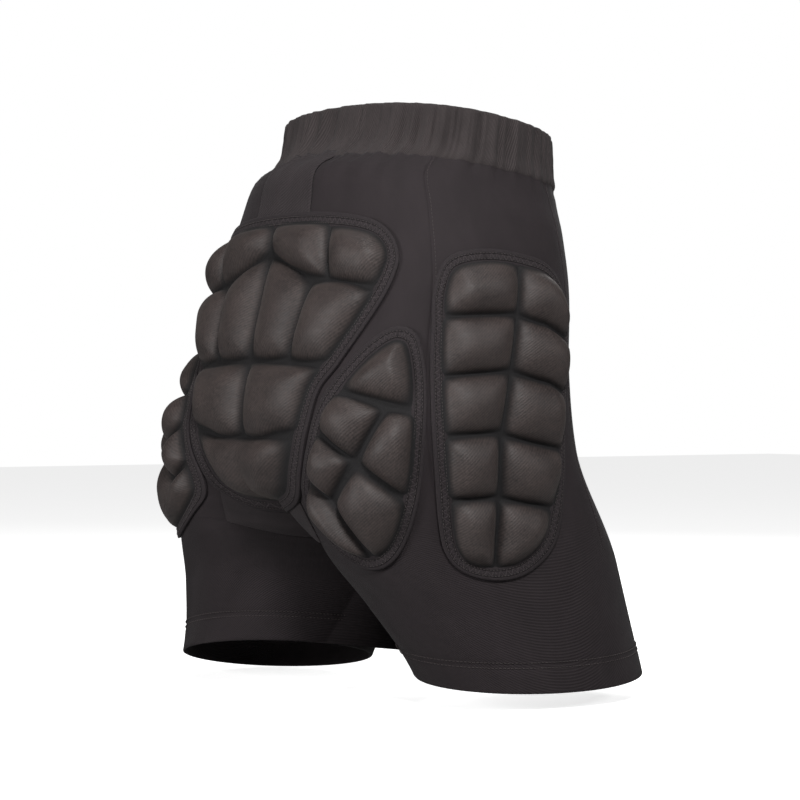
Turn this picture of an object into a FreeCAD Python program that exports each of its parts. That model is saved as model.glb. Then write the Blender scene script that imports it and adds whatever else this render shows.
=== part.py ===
import FreeCAD, Part
import math
import os

# Padded impact shorts, as worn: the knit shell stands open as if on a body, one leg a short step
# ahead of the other. Millimetres, +Z up, front towards -Y, the wearer's right towards -X.
# The origin is the centre of the waist opening. "Drop" is the distance below the waist top;
# "round" is the distance round one half of the hips from the centre back, negative on the left.

os.makedirs("parts", exist_ok=True)

# ---- driving dimensions -------------------------------------------------------------------
WAISTBAND_HEIGHT = 42.0
DROP_SEAT = 240.0          # where the seat starts to turn under towards the crotch
DROP_FRONT_FORK = 275.0     # the same in front
DROP_CROTCH = 330.0
DROP_STRETCH = 352.0       # top of the fabric that gives when a thigh swings
DROP_SLEEVE = 396.0        # bottom of that fabric
DROP_HEM_SEAM = 412.0
DROP_HEM = 436.0
HALF_ROUND = 470.0         # centre back to centre front, measured round

FABRIC = 1.2               # knit shell
ELASTIC = 1.6
LINING = 0.8
BASE_CLOTH = 0.7           # cloth every pad is built on
BINDING_WIDTH = 11.0
BINDING = 1.4
PLY_GAP = 0.5              # air between layers that only touch in the real garment
FOAM_GAP = 0.8             # tape to the foot of a foam block
TAPE_LIFT = 0.35           # the tape rides a little higher where it rounds the pad edge
PAD_GAP = 0.6              # air under the pads, which are sewn down only round their edges
SEAM_GAP = 0.5             # cut edge to cut edge at a flatlock seam
WEB = 1.0                  # foam left at the foot of a block
BLOCK = {"tailbone": 15.0, "buttock": 15.0, "hip": 14.0}

WAIST_TILT = 0.16          # the back of the waist stands higher than the front
SQUARE = 2.35              # 2 is an ellipse; more is a squarer hip
FORK_SOFTNESS = 0.07       # rounds the fold between the legs just above the crotch
STEP_START = 180.0         # drop at which the legs begin to part

# hips, ring by ring: drop, half width, front depth, back depth, buttock fullness
HIPS = [
    (-40, 130, 91, 86, 0), (0, 130, 91, 86, 0), (36, 132, 91, 94, 0), (56, 138, 91, 119, 0),
    (82, 150, 89, 126, 0.02), (132, 165, 84, 135, 0.06), (192, 172, 75, 151, 0.07),
    (252, 172, 71, 157, 0.12), (312, 172, 76, 148, 0.14), (372, 170, 86, 125, 0.06),
    (436, 165, 90, 105, 0),
]
# thigh, ring by ring: drop, centre out, inseam back, half width, front depth, back depth
THIGHS = [
    (142, 86, 31, 86, 93, 126), (242, 86, 31, 86, 93, 126), (330, 86, 30, 85.4, 93, 124),
    (380, 88, 16, 83, 90, 106), (436, 90, 2, 80, 87, 89), (500, 92, 2, 78, 85, 87),
]
# stance of each leg at its hem: outwards, forwards, rise per mm out, rise per mm back, girth in x and y
STANCE = {
    "right": (24, 35, -0.09, -0.02, 0.87, 1.12),
    "left": (26, -60, -0.20, 0.14, 1.10, 0.88),
}


# ---- the body inside the shorts ----------------------------------------------------------------
def clamp(v):
    return max(0.0, min(1.0, v))


def smooth(t):
    t = clamp(t)
    return t * t * (3 - 2 * t)


def between(rings, drop):
    """A ring of the table at any drop, eased through its neighbours."""
    last = len(rings) - 1
    drop = max(rings[0][0], min(rings[last][0], drop))
    i = max(j for j in range(last) if rings[j][0] <= drop)
    before, a, b, after = rings[max(i - 1, 0)], rings[i], rings[i + 1], rings[min(i + 2, last)]
    span = b[0] - a[0]
    t = (drop - a[0]) / span
    out = []
    for k in range(1, len(a)):
        ma = (b[k] - before[k]) / (b[0] - before[0]) * span
        mb = (after[k] - a[k]) / (after[0] - a[0]) * span
        out.append((2 * t ** 3 - 3 * t ** 2 + 1) * a[k] + (t ** 3 - 2 * t ** 2 + t) * ma
                   + (-2 * t ** 3 + 3 * t ** 2) * b[k] + (t ** 3 - t ** 2) * mb)
    return out


def power(v, e):
    return math.copysign(abs(v) ** e, v)


def even_point(along, drop):
    """Outside of the shell, right half, legs side by side. along: 0 centre front, 1 centre back."""
    wide, front, back, full = between(HIPS, drop)
    turn = math.pi * along
    ahead = turn < math.pi / 2
    e = 2 / SQUARE
    full = 1 + full * math.exp(-((turn - 2.38) / 0.45) ** 2)
    out = power(math.sin(turn), e)
    x = -wide * out * full
    y = -(front if ahead else back) * power(math.cos(turn), e) * full
    start = DROP_SEAT + (DROP_FRONT_FORK - DROP_SEAT) * smooth(math.cos(turn))
    t = clamp((drop - start) / (DROP_CROTCH - start))
    inner = 0.5 + 0.5 * math.cos(2 * turn)
    leg = inner * (1 - math.sqrt(1 - t * t)) + (1 - inner) * smooth(t)
    if leg > 0:
        cx, inseam, ax, fore, aft = between(THIGHS, drop)
        if drop < DROP_CROTCH:
            cx = ax
        soften = (FORK_SOFTNESS * (1 - leg)) ** 1.5 + 1e-9
        deep = 2 * math.sqrt(max(0.0, out * (1 - out))) * out ** 1.5 / (out ** 1.5 + soften)
        x = (1 - leg) * x + leg * (ax * (1 - 2 * out) - cx)
        y = (1 - leg) * y + leg * (inseam * (1 - out) + deep * (-fore if ahead else aft))
    z = -drop + WAIST_TILT * y * smooth(1 - (drop - 30) / 170)
    return (x, y, z)


def even_normal(along, drop):
    h, k = max(1e-5, min(0.002, 0.25 * along, 0.25 - 0.25 * along)), 0.5
    a = even_point(max(0, along - h), drop)
    b = even_point(min(1, along + h), drop)
    c = even_point(along, drop - k)
    d = even_point(along, drop + k)
    p = [b[i] - a[i] for i in range(3)]
    q = [d[i] - c[i] for i in range(3)]
    n = [q[1] * p[2] - q[2] * p[1], q[2] * p[0] - q[0] * p[2], q[0] * p[1] - q[1] * p[0]]
    if drop < DROP_CROTCH and (along < 1e-6 or along > 1 - 1e-6):
        n[0] = 0.0
    size = math.sqrt(sum(v * v for v in n))
    return [-v / size for v in n]


def leg_station(angle):
    """Distance round, on the right, for an angle about the leg; 0 and a full turn are the inseam."""
    out = 0.5 - 0.5 * math.cos(angle)
    half = HALF_ROUND * math.asin(out ** (SQUARE / 2)) / math.pi
    return half if angle < math.pi else HALF_ROUND - half


def point(round_, drop, off=0.0):
    """A point of the shorts at a distance round, a drop, and a height off the shell's outside."""
    side = "right" if round_ >= 0 else "left"
    along = 1 - min(abs(round_), HALF_ROUND) / HALF_ROUND
    x, y, z = even_point(along, drop)
    if off:
        n = even_normal(along, drop)
        x, y, z = x + off * n[0], y + off * n[1], z + off * n[2]
    out, ahead, rise_out, rise_back, girth_x, girth_y = STANCE[side]
    start = DROP_CROTCH + (STEP_START - DROP_CROTCH) * smooth(abs(x) / 75)
    t = clamp((drop - start) / (DROP_HEM - start))
    lean, ease = 1.35 * t * t / (t + 0.35), smooth(t)
    z += ease * (rise_out * (-x - 90) + rise_back * y)
    x = (x + 90) * (1 + (girth_x - 1) * ease) - 90 - out * lean
    y = y * (1 + (girth_y - 1) * ease) - ahead * lean
    return FreeCAD.Vector(x if side == "right" else -x, y, z)


# ---- solids ---------------------------------------------------------------------------------------
def layer(lower, upper):
    """A closed solid between two grids of points."""
    skins = []
    for grid in (lower, upper):
        skin = Part.BSplineSurface()
        skin.interpolate(grid)
        skins.append(skin)
    a, b = skins
    u0, u1, v0, v1 = a.bounds()
    p0, p1, q0, q1 = b.bounds()
    faces = [a.toShape(), b.toShape()]
    for ca, cb in ((a.uIso(u0), b.uIso(p0)), (a.uIso(u1), b.uIso(p1)),
                   (a.vIso(v0), b.vIso(q0)), (a.vIso(v1), b.vIso(q1))):
        faces.append(Part.makeRuledSurface(ca.toShape(), cb.toShape(), 1))
    shell = Part.Shell(Part.makeCompound(faces).Faces)
    if not shell.isClosed():
        shell.sewShape()
    solid = Part.Solid(shell)
    if solid.Volume < 0:
        solid.reverse()
    return solid


def spread(a, b, count):
    return [a + (b - a) * i / (count - 1) for i in range(count)]


def panel(rounds, drops, off, thick):
    return layer([[point(r, d, off - thick) for d in drops] for r in rounds],
                 [[point(r, d, off) for d in drops] for r in rounds])


def ease_to(a, b, count, both=False):
    """Stations from a to b that crowd together at b, where the shell turns tightly, or at both."""
    if both:
        return [a + (b - a) * (0.5 - 0.5 * math.cos(math.pi * t)) for t in spread(0.0, 1.0, count)]
    return [b + (a - b) * t ** 1.7 for t in spread(1.0, 0.0, count)]


def patch(corners, bulge, count):
    """Grid over a four-cornered outline; bulge bows the four edges outwards, in order."""
    def edge(a, b, bow, t):
        px, py = a[0] + (b[0] - a[0]) * t, a[1] + (b[1] - a[1]) * t
        size = math.hypot(b[0] - a[0], b[1] - a[1])
        k = 4 * bow * t * (1 - t) / size
        return (px + (b[1] - a[1]) * k, py - (b[0] - a[0]) * k)
    a, b, c, d = corners
    grid = []
    for i in range(count):
        s = 0.5 - 0.5 * math.cos(math.pi * i / (count - 1))
        row = []
        for j in range(count):
            t = 0.5 - 0.5 * math.cos(math.pi * j / (count - 1))
            top, low = edge(a, b, bulge[0], s), edge(d, c, -bulge[2], s)
            left, right = edge(a, d, -bulge[3], t), edge(b, c, bulge[1], t)
            spot = [(1 - t) * top[k] + t * low[k] + (1 - s) * left[k] + s * right[k]
                    - ((1 - s) * (1 - t) * a[k] + s * (1 - t) * b[k] + (1 - s) * t * d[k] + s * t * c[k])
                    for k in (0, 1)]
            row.append((spot[0], spot[1], (1 - (2 * s - 1) ** 4) * (1 - (2 * t - 1) ** 4)))
        grid.append(row)
    return grid


def block(corners, bulge, height, count=9):
    """One fabric-faced foam block, crowned in the middle and steep at its edges."""
    grid = patch(corners, bulge, count)
    foot = PAD_GAP + BASE_CLOTH + PLY_GAP
    return layer([[point(r, d, foot) for r, d, _ in row] for row in grid],
                 [[point(r, d, foot + WEB + (height - WEB) * h) for r, d, h in row] for row in grid])


def outline(corners, count):
    """Smooth closed curve through an outline's points, with the inward direction at each."""
    n = len(corners)
    spots = []
    for i in range(count):
        f = i * n / count
        k, t = int(f), f - int(f)
        p = [corners[(k + j) % n] for j in (-1, 0, 1, 2)]
        spots.append([0.5 * (2 * p[1][m] + (p[2][m] - p[0][m]) * t
                             + (2 * p[0][m] - 5 * p[1][m] + 4 * p[2][m] - p[3][m]) * t * t
                             + (3 * p[1][m] - p[0][m] - 3 * p[2][m] + p[3][m]) * t ** 3) for m in (0, 1)])
    out = []
    for i, (r, d) in enumerate(spots):
        a, b = spots[i - 1], spots[(i + 1) % count]
        size = math.hypot(b[0] - a[0], b[1] - a[1])
        out.append((r, d, -(b[1] - a[1]) / size, (b[0] - a[0]) / size))
    return out


def all_round(corners, bulge):
    """Points all round the outline of one block."""
    grid = [[spot[:2] for spot in row] for row in patch(corners, bulge, 25)]
    return grid[0] + grid[-1] + [row[0] for row in grid] + [row[-1] for row in grid]


def binding(corners, foam):
    """Flat tape round the edge of a pad, narrower where foam comes close; its ends meet with a small gap."""
    ring = []
    for r, d, ir, id_ in outline(corners, 6 * len(corners)):
        wide = BINDING_WIDTH
        for p, q in foam:
            beside, inward = (q - d) * ir - (p - r) * id_, (p - r) * ir + (q - d) * id_
            if abs(beside) < 6 and inward < 20:
                wide = min(wide, inward - FOAM_GAP)
        ring.append((r, d, ir, id_, wide))
    ring.append([0.97 * a + 0.03 * b for a, b in zip(ring[0], ring[-1])])
    foot = PAD_GAP + BASE_CLOTH + PLY_GAP + TAPE_LIFT
    return layer(*[[[point(r + ir * w * wide, d + id_ * w * wide, off) for w in spread(0.0, 1.0, 5)]
                    for r, d, ir, id_, wide in ring] for off in (foot, foot + BINDING)])


def base(corners, split, count=17):
    """The cloth under a pad: its outline cut into four runs at the given points."""
    whole = 8 * len(corners)
    spots = [(r + ir * 1.5, d + id_ * 1.5) for r, d, ir, id_ in outline(corners, whole)]

    def run(start, end):
        length = (8 * (end - start)) % whole or whole
        out = []
        for f in spread(8 * start, 8 * start + length, count):
            a, b, t = spots[int(f) % whole], spots[(int(f) + 1) % whole], f - int(f)
            out.append((a[0] + (b[0] - a[0]) * t, a[1] + (b[1] - a[1]) * t))
        return out
    i, j, k, m = split
    top, right, low, left = run(i, j), run(j, k), run(k, m)[::-1], run(m, i)[::-1]
    grid = []
    for p, s in enumerate(spread(0.0, 1.0, count)):
        row = []
        for q, t in enumerate(spread(0.0, 1.0, count)):
            row.append([(1 - t) * top[p][c] + t * low[p][c] + (1 - s) * left[q][c] + s * right[q][c]
                        - ((1 - s) * (1 - t) * top[0][c] + s * (1 - t) * top[-1][c]
                           + (1 - s) * t * low[0][c] + s * t * low[-1][c]) for c in (0, 1)])
        grid.append(row)
    return layer([[point(r, d, PAD_GAP) for r, d in row] for row in grid],
                 [[point(r, d, PAD_GAP + BASE_CLOTH) for r, d in row] for row in grid])


def mirrored(spots):
    return [(-r, d) for r, d in spots][::-1]


def other_side(corners):
    """The same four corners on the other half, still starting top, nearest the front of the list."""
    a, b, c, d = [(-r, q) for r, q in corners]
    return [b, a, d, c]


nodes = {}

# ---- knit shell -----------------------------------------------------------------------------------
band = spread(0.0, WAISTBAND_HEIGHT, 5)
hip_drops = spread(WAISTBAND_HEIGHT + SEAM_GAP, DROP_SEAT, 15)
front_drops = spread(WAISTBAND_HEIGHT + SEAM_GAP, DROP_FRONT_FORK, 17)
for rows in (hip_drops, front_drops):
    fork = rows[-1]
    rows += [fork + (DROP_CROTCH - fork) * math.sin(math.radians(a)) for a in spread(0, 88, 12)[1:]]
EDGE = SEAM_GAP / 2

waist_ring = spread(-HALF_ROUND + EDGE, HALF_ROUND - EDGE, 49)
nodes["waistband_cover"] = panel(waist_ring, band, 0.0, FABRIC)
nodes["waistband_elastic"] = panel(waist_ring, band, -FABRIC - PLY_GAP, ELASTIC)
nodes["waistband_lining"] = panel(waist_ring, band, -FABRIC - ELASTIC - 2 * PLY_GAP, LINING)

CENTRE_STRIP = 31.0        # half width of the insert down the centre back
SIDE_SEAMS = (149.0, 292.0)
half_strip = ease_to(CENTRE_STRIP - EDGE, 0.0, 10)
nodes["centre_back_panel"] = panel([-r for r in half_strip] + half_strip[-2::-1], hip_drops, 0.0, FABRIC)

for name, sign in (("right", 1), ("left", -1)):
    stations = {
        "seat": ease_to(SIDE_SEAMS[0] - EDGE, CENTRE_STRIP + EDGE, 15),
        "side": spread(SIDE_SEAMS[0] + EDGE, SIDE_SEAMS[1] - EDGE, 13),
        "front": ease_to(SIDE_SEAMS[1] + EDGE, HALF_ROUND - EDGE / 5, 19),
    }
    for part, rounds in stations.items():
        rows = front_drops if part == "front" else hip_drops
        nodes[f"{name}_{part}_panel"] = panel([sign * r for r in rounds], rows, 0.0, FABRIC)
    leg_ring = [sign * leg_station(a) for a in spread(0.003, 2 * math.pi - 0.003, 41)]
    for part, top, low, gap in (("thigh_yoke", DROP_CROTCH, DROP_STRETCH, 0.3),
                                ("thigh_stretch", DROP_STRETCH, DROP_SLEEVE, 0.3),
                                ("leg_sleeve", DROP_SLEEVE, DROP_HEM_SEAM, 0.3),
                                ("leg_hem", DROP_HEM_SEAM, DROP_HEM, 0.2)):
        thick = FABRIC * 1.6 if part == "leg_hem" else FABRIC
        nodes[f"{name}_{part}"] = panel(leg_ring, spread(top + gap, low - gap, 5), 0.0, thick)

# ---- tailbone pad ------------------------------------------------------------------------------------
# outlines are (round, drop); a block is its four corners and how far each edge bows out
TAIL_EDGE = [(0, 88), (60, 90), (98, 95), (115, 105), (121, 119), (118, 133), (107, 155), (83, 193),
             (68, 213), (59, 242), (46, 274), (31, 299), (0, 308)]
TAIL_BLOCKS = {
    "top_inner": ([(1.6, 99), (57, 98), (60, 133), (1.6, 114)], (1, 0, 3, 0)),
    "top_outer": ([(61, 98), (99, 103), (106, 139), (64, 134)], (1, 4, 0, 0)),
    "mid_inner": ([(1.6, 120), (44, 139), (36, 187), (1.6, 187)], (2, 0, 1, 0)),
    "mid_outer": ([(48, 140), (97, 144), (68, 190), (40, 188)], (3, 2, 1, 0)),
    "low": ([(1.6, 193), (58, 197), (33, 243), (1.6, 246)], (0, 4, 2, 0)),
}
TAIL_TIP = ([(-27, 251), (27, 251), (23, 299), (-23, 299)], (0, 3, 2, 3))

tail_ring = mirrored(TAIL_EDGE[1:-1]) + TAIL_EDGE
nodes["tailbone_pad_base"] = base(tail_ring, (8, 14, 21, 1), 33)
tail_foam = [spot for outer in list(TAIL_BLOCKS.values()) + [TAIL_TIP] for spot in all_round(*outer)]
nodes["tailbone_pad_binding"] = binding(tail_ring, tail_foam + mirrored(tail_foam))
for part, (corners, bulge) in TAIL_BLOCKS.items():
    nodes[f"tailbone_block_{part}_right"] = block(corners, bulge, BLOCK["tailbone"])
    flip = (bulge[0], bulge[3], bulge[2], bulge[1])
    nodes[f"tailbone_block_{part}_left"] = block(other_side(corners), flip, BLOCK["tailbone"])
nodes["tailbone_block_tip"] = block(*TAIL_TIP, BLOCK["tailbone"], 15)

# ---- buttock pads ------------------------------------------------------------------------------------
BUTTOCK_EDGE = [(126, 167), (141, 175), (148, 203), (147, 242), (139, 283), (126, 318), (111, 337),
                (92, 344), (71, 338), (54, 326), (41, 309), (41, 290), (49.8, 270), (58.6, 251), (69, 223),
                (88, 195), (109, 174)]
BUTTOCK_BLOCKS = {
    "upper": ([(87, 211), (124, 179), (133, 179), (139, 224)], (3, 1, 3, 0)),
    "mid_inner": ([(79, 217), (117, 228), (98, 260), (71.5, 240)], (1, 0, 0, 1)),
    "mid_outer": ([(123, 230), (140, 233), (128, 285), (103, 264)], (0, 1, 0, 0)),
    "low_inner": ([(68, 246), (93, 264), (73, 290), (56, 273)], (0, 0, 0, 1)),
    "lower": ([(99, 270), (124, 291), (98, 329), (77, 296)], (0, 2, 0, 0)),
    "rim": ([(51, 278), (72, 296), (92, 331), (55, 317)], (0, 0, 3, 1)),
}

# ---- hip pads ------------------------------------------------------------------------------------------
HIP_EDGE = [(194, 110), (232, 111), (262, 122), (280, 148), (281, 176), (270, 212), (256, 250),
            (242, 290), (228, 325), (206, 344), (184, 350), (163, 346), (151, 333), (148, 305),
            (151, 242), (150, 176), (149, 142), (161, 119)]
# each row of blocks from the top down: its upper edge, then its lower edge
HIP_REAR = [((178, 127), (219, 121), (169, 157), (215, 154)), ((168, 162), (214, 159), (166, 200), (209, 196)),
            ((165, 205), (208, 201), (161, 243), (199, 241)), ((160, 249), (197, 246), (158, 288), (189, 287)),
            ((158, 293), (188, 292), (164, 329), (180, 336))]
HIP_FRONT = [((223, 121), (258, 127), (219, 155), (266, 170)), ((218, 160), (266, 176), (213, 197), (259, 212)),
             ((212, 202), (258, 217), (203, 243), (245, 255)), ((202, 248), (244, 260), (194, 288), (233, 297)),
             ((193, 293), (232, 302), (184, 337), (211, 335))]


def column(rows, sign):
    """Five blocks moulded in one strip of foam, thin between the blocks."""
    foot = PAD_GAP + BASE_CLOTH + PLY_GAP
    lower, upper = [], []
    for s in ease_to(0.0, 1.0, 9, both=True):
        low_row, up_row = [], []
        for a, b, c, d in rows:
            for t in ease_to(0.0, 1.0, 7, both=True):
                r, q = [(1 - t) * ((1 - s) * a[k] + s * b[k]) + t * ((1 - s) * c[k] + s * d[k]) for k in (0, 1)]
                rise = (1 - (2 * s - 1) ** 4) * (1 - (2 * t - 1) ** 4)
                low_row.append(point(sign * r, q, foot))
                up_row.append(point(sign * r, q, foot + WEB + (BLOCK["hip"] - WEB) * rise))
        lower.append(low_row)
        upper.append(up_row)
    return layer(lower, upper)


for name, sign in (("right", 1), ("left", -1)):
    ring = BUTTOCK_EDGE if sign > 0 else mirrored(BUTTOCK_EDGE)
    foam = [spot for outer in BUTTOCK_BLOCKS.values() for spot in all_round(*outer)]
    nodes[f"{name}_buttock_pad_base"] = base(ring, (0, 4, 8, 12) if sign > 0 else (4, 8, 12, 16))
    nodes[f"{name}_buttock_pad_binding"] = binding(ring, foam if sign > 0 else mirrored(foam))
    for part, (corners, bulge) in BUTTOCK_BLOCKS.items():
        if sign < 0:
            corners, bulge = other_side(corners), (bulge[0], bulge[3], bulge[2], bulge[1])
        nodes[f"{name}_buttock_block_{part}"] = block(corners, bulge, BLOCK["buttock"])
    ring = HIP_EDGE if sign > 0 else mirrored(HIP_EDGE)
    foam = [spot for a, b, c, d in HIP_REAR + HIP_FRONT for spot in all_round([a, b, d, c], (0, 0, 0, 0))]
    nodes[f"{name}_hip_pad_base"] = base(ring, (16, 3, 8, 12) if sign > 0 else (14, 1, 5, 9), 21)
    nodes[f"{name}_hip_pad_binding"] = binding(ring, foam if sign > 0 else mirrored(foam))
    nodes[f"{name}_hip_foam_rear_column"] = column(HIP_REAR, sign)
    nodes[f"{name}_hip_foam_front_column"] = column(HIP_FRONT, sign)

for name, solid in nodes.items():
    solid.exportStep(f"parts/{name}.step")
    print(name, "ok" if solid.isValid() else "INVALID", round(solid.Volume))
print(len(nodes), "nodes")
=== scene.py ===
import bpy
import math
import numpy as np
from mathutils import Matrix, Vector


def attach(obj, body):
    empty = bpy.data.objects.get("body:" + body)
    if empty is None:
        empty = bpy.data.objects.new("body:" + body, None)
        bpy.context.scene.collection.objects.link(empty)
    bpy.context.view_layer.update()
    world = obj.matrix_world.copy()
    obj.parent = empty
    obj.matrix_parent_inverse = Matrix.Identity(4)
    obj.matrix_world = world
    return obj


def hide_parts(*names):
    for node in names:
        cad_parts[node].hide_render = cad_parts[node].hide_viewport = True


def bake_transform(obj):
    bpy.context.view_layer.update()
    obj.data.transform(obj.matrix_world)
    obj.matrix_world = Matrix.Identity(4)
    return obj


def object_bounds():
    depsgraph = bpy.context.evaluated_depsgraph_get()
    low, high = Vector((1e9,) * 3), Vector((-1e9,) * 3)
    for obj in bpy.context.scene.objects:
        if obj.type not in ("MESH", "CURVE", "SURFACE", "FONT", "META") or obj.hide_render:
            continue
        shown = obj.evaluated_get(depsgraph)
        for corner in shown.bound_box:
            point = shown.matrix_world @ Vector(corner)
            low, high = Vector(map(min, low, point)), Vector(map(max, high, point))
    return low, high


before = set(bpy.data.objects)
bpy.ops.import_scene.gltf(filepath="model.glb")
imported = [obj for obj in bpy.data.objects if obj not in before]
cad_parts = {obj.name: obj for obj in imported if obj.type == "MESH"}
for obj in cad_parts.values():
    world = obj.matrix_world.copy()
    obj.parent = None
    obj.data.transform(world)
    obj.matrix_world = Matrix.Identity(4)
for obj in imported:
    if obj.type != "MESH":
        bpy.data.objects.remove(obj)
CAD_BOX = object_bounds()

MM = 0.001
SEAT = "seat_and_pads"
SIDES = (("right", 1), ("left", -1))

# ---- camera, floor and light ------------------------------------------------------------------
VIEW_AZIMUTH, VIEW_DISTANCE, VIEW_CENTRE = 236.0, 1.9, Vector((0.0, 0.014, -0.22))
turn = math.radians(VIEW_AZIMUTH)
camera = bpy.data.objects.new("camera", bpy.data.cameras.new("camera"))
camera.data.lens = 104.3
camera.location = VIEW_CENTRE + VIEW_DISTANCE * Vector((math.sin(turn), -math.cos(turn), 0))
camera.rotation_euler = (VIEW_CENTRE - camera.location).to_track_quat("-Z", "Y").to_euler()
bpy.context.scene.collection.objects.link(camera)
bpy.context.scene.camera = camera
bpy.context.scene.view_settings.view_transform = "Standard"


def put(name, verts, faces, smooth_shading=True):
    mesh = bpy.data.meshes.new(name)
    mesh.from_pydata([tuple(v) for v in verts], [], [tuple(f) for f in faces])
    mesh.update()
    if smooth_shading:
        mesh.shade_smooth()
    piece = bpy.data.objects.new(name, mesh)
    bpy.context.scene.collection.objects.link(piece)
    return piece


# ---- the shape inside the shorts, as in the CAD, in millimetres ------------------------------------
WAISTBAND_HEIGHT, DROP_SEAT, DROP_FRONT_FORK, DROP_CROTCH = 42.0, 240.0, 275.0, 330.0
DROP_STRETCH, DROP_SLEEVE, DROP_HEM_SEAM, DROP_HEM = 352.0, 396.0, 412.0, 436.0
HALF_ROUND, SQUARE, WAIST_TILT, STEP_START, FORK_SOFTNESS = 470.0, 2.35, 0.16, 180.0, 0.07
PAD_FOOT = 0.6 + 0.7 + 0.5
HIPS = np.array([
    (-40, 130, 91, 86, 0), (0, 130, 91, 86, 0), (36, 132, 91, 94, 0), (56, 138, 91, 119, 0),
    (82, 150, 89, 126, 0.02), (132, 165, 84, 135, 0.06), (192, 172, 75, 151, 0.07),
    (252, 172, 71, 157, 0.12), (312, 172, 76, 148, 0.14), (372, 170, 86, 125, 0.06),
    (436, 165, 90, 105, 0)], float)
THIGHS = np.array([
    (142, 86, 31, 86, 93, 126), (242, 86, 31, 86, 93, 126), (330, 86, 30, 85.4, 93, 124),
    (380, 88, 16, 83, 90, 106), (436, 90, 2, 80, 87, 89), (500, 92, 2, 78, 85, 87)], float)
STANCE = {1: (24, 35, -0.09, -0.02, 0.87, 1.12), -1: (26, -60, -0.20, 0.14, 1.10, 0.88)}


def smooth(t):
    t = np.clip(t, 0, 1)
    return t * t * (3 - 2 * t)


def between(rings, drop):
    last = len(rings) - 1
    drop = np.clip(drop, rings[0, 0], rings[last, 0])
    i = np.clip(np.searchsorted(rings[:, 0], drop, side="right") - 1, 0, last - 1)
    p0, p1, p2, p3 = rings[np.maximum(i - 1, 0)], rings[i], rings[i + 1], rings[np.minimum(i + 2, last)]
    span = p2[..., :1] - p1[..., :1]
    t = (drop[..., None] - p1[..., :1]) / span
    ma = (p2 - p0) / (p2[..., :1] - p0[..., :1]) * span
    mb = (p3 - p1) / (p3[..., :1] - p1[..., :1]) * span
    out = ((2 * t ** 3 - 3 * t ** 2 + 1) * p1 + (t ** 3 - 2 * t ** 2 + t) * ma
           + (-2 * t ** 3 + 3 * t ** 2) * p2 + (t ** 3 - t ** 2) * mb)
    return [out[..., k] for k in range(1, rings.shape[1])]


def even_point(along, drop):
    wide, front, back, full = between(HIPS, drop)
    angle = math.pi * along
    ahead = angle < math.pi / 2
    e = 2 / SQUARE
    full = 1 + full * np.exp(-((angle - 2.38) / 0.45) ** 2)
    out = np.abs(np.sin(angle)) ** e
    cos = np.cos(angle)
    x = -wide * out * full
    y = -np.where(ahead, front, back) * np.sign(cos) * np.abs(cos) ** e * full
    start = DROP_SEAT + (DROP_FRONT_FORK - DROP_SEAT) * smooth(cos)
    t = np.clip((drop - start) / (DROP_CROTCH - start), 0, 1)
    inner = 0.5 + 0.5 * np.cos(2 * angle)
    leg = inner * (1 - np.sqrt(1 - t * t)) + (1 - inner) * smooth(t)
    cx, inseam, ax, fore, aft = between(THIGHS, drop)
    cx = np.where(drop < DROP_CROTCH, ax, cx)
    soften = (FORK_SOFTNESS * (1 - leg)) ** 1.5 + 1e-9
    deep = 2 * np.sqrt(np.maximum(0.0, out * (1 - out))) * out ** 1.5 / (out ** 1.5 + soften)
    x = (1 - leg) * x + leg * (ax * (1 - 2 * out) - cx)
    y = (1 - leg) * y + leg * (inseam * (1 - out) + deep * np.where(ahead, -fore, aft))
    z = -drop + WAIST_TILT * y * smooth(1 - (drop - 30) / 170)
    return np.stack([x, y, z], -1)


def even_normal(along, drop):
    h = np.clip(0.25 * np.minimum(along, 1 - along), 1e-5, 0.002)
    p = even_point(np.minimum(1, along + h), drop) - even_point(np.maximum(0, along - h), drop)
    q = even_point(along, drop + 0.5) - even_point(along, drop - 0.5)
    n = np.cross(p, q)
    centre = (drop < DROP_CROTCH) & ((along < 1e-6) | (along > 1 - 1e-6))
    n[..., 0] = np.where(centre, 0, n[..., 0])
    return n / np.linalg.norm(n, axis=-1, keepdims=True)


def spot(round_, drop, off=0.0):
    """Points of the shorts, in metres: distance round from the centre back, drop, height off the shell."""
    round_, drop, off = np.broadcast_arrays(*[np.asarray(v, float) for v in (round_, drop, off)])
    p = cad_spot(round_, drop, off)
    # the thigh flows into the seat without the crease of the cut line there
    low, high = DROP_CROTCH - 16, DROP_CROTCH + 18
    near = (drop > low) & (drop < high)
    if near.any():
        r, d, o = round_[near], drop[near], off[near]
        a, b = cad_spot(r, low + 0 * d, o), cad_spot(r, high + 0 * d, o)
        ma = (a - cad_spot(r, low - 1 + 0 * d, o)) * (high - low)
        mb = (cad_spot(r, high + 1 + 0 * d, o) - b) * (high - low)
        t = ((d - low) / (high - low))[:, None]
        flow = ((2 * t ** 3 - 3 * t ** 2 + 1) * a + (t ** 3 - 2 * t ** 2 + t) * ma
                + (-2 * t ** 3 + 3 * t ** 2) * b + (t ** 3 - t ** 2) * mb)
        share = smooth((np.minimum(np.abs(r), HALF_ROUND - np.abs(r)) - 25) / 50)[:, None]
        p[near] = (1 - share) * p[near] + share * flow
    return p


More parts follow.
